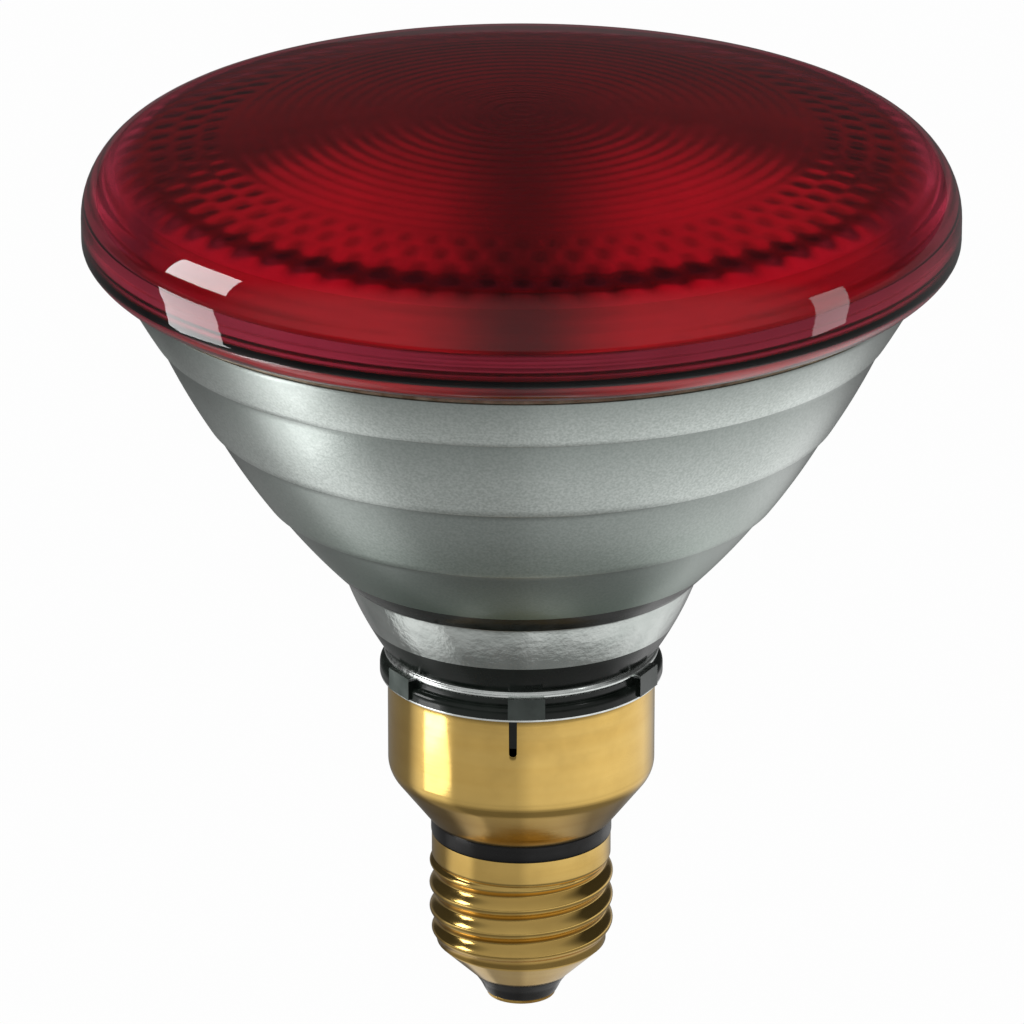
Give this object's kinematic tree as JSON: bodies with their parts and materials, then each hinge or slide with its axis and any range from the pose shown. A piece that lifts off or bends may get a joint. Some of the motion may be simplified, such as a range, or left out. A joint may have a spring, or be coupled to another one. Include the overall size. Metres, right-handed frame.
{
  "type": "infrared heat lamp bulb",
  "caption": "Pressed-glass infrared heat lamp bulb: red domed front glass with moulded rings, stepped silvered reflector, slotted brass skirt and a screw cap.",
  "frame": {"origin": "on the lamp's axis, at the flat foot of the centre contact, where the lamp seats in its holder", "axes": "+Z along the lamp's axis from the contact to the front glass, -Y towards the side that the picture shows"},
  "size_m": [0.122, 0.122, 0.135],
  "materials": {
    "red_glass": "clear moulded glass, deep red all through",
    "sealing_glass": "matt tan sealing bead",
    "silvered_glass": "pressed glass with a metal coat inside, satin bands and a polished neck",
    "brass": "satin drawn sheet",
    "black_insulator": "glossy black",
    "solder": "dull grey",
    "nickel": "bright drawn wire and cup",
    "tungsten": "dark grey coil",
    "clear_glass": "clear tube"
  },
  "bodies": {
    "root": {"front_lens": "red_glass", "rim_seal": "sealing_glass", "reflector_bowl": "silvered_glass", "cap_skirt": "brass", "insulator_ring": "black_insulator", "screw_shell": "brass", "base_insulator": "black_insulator", "centre_contact": "brass", "contact_solder": "solder", "exhaust_tube": "clear_glass", "ferrule_left": "nickel", "ferrule_right": "nickel", "lead_post_left": "nickel", "lead_post_right": "nickel", "filament": "tungsten", "shell_lead": "nickel", "contact_lead": "nickel"}
  },
  "joints": []
}
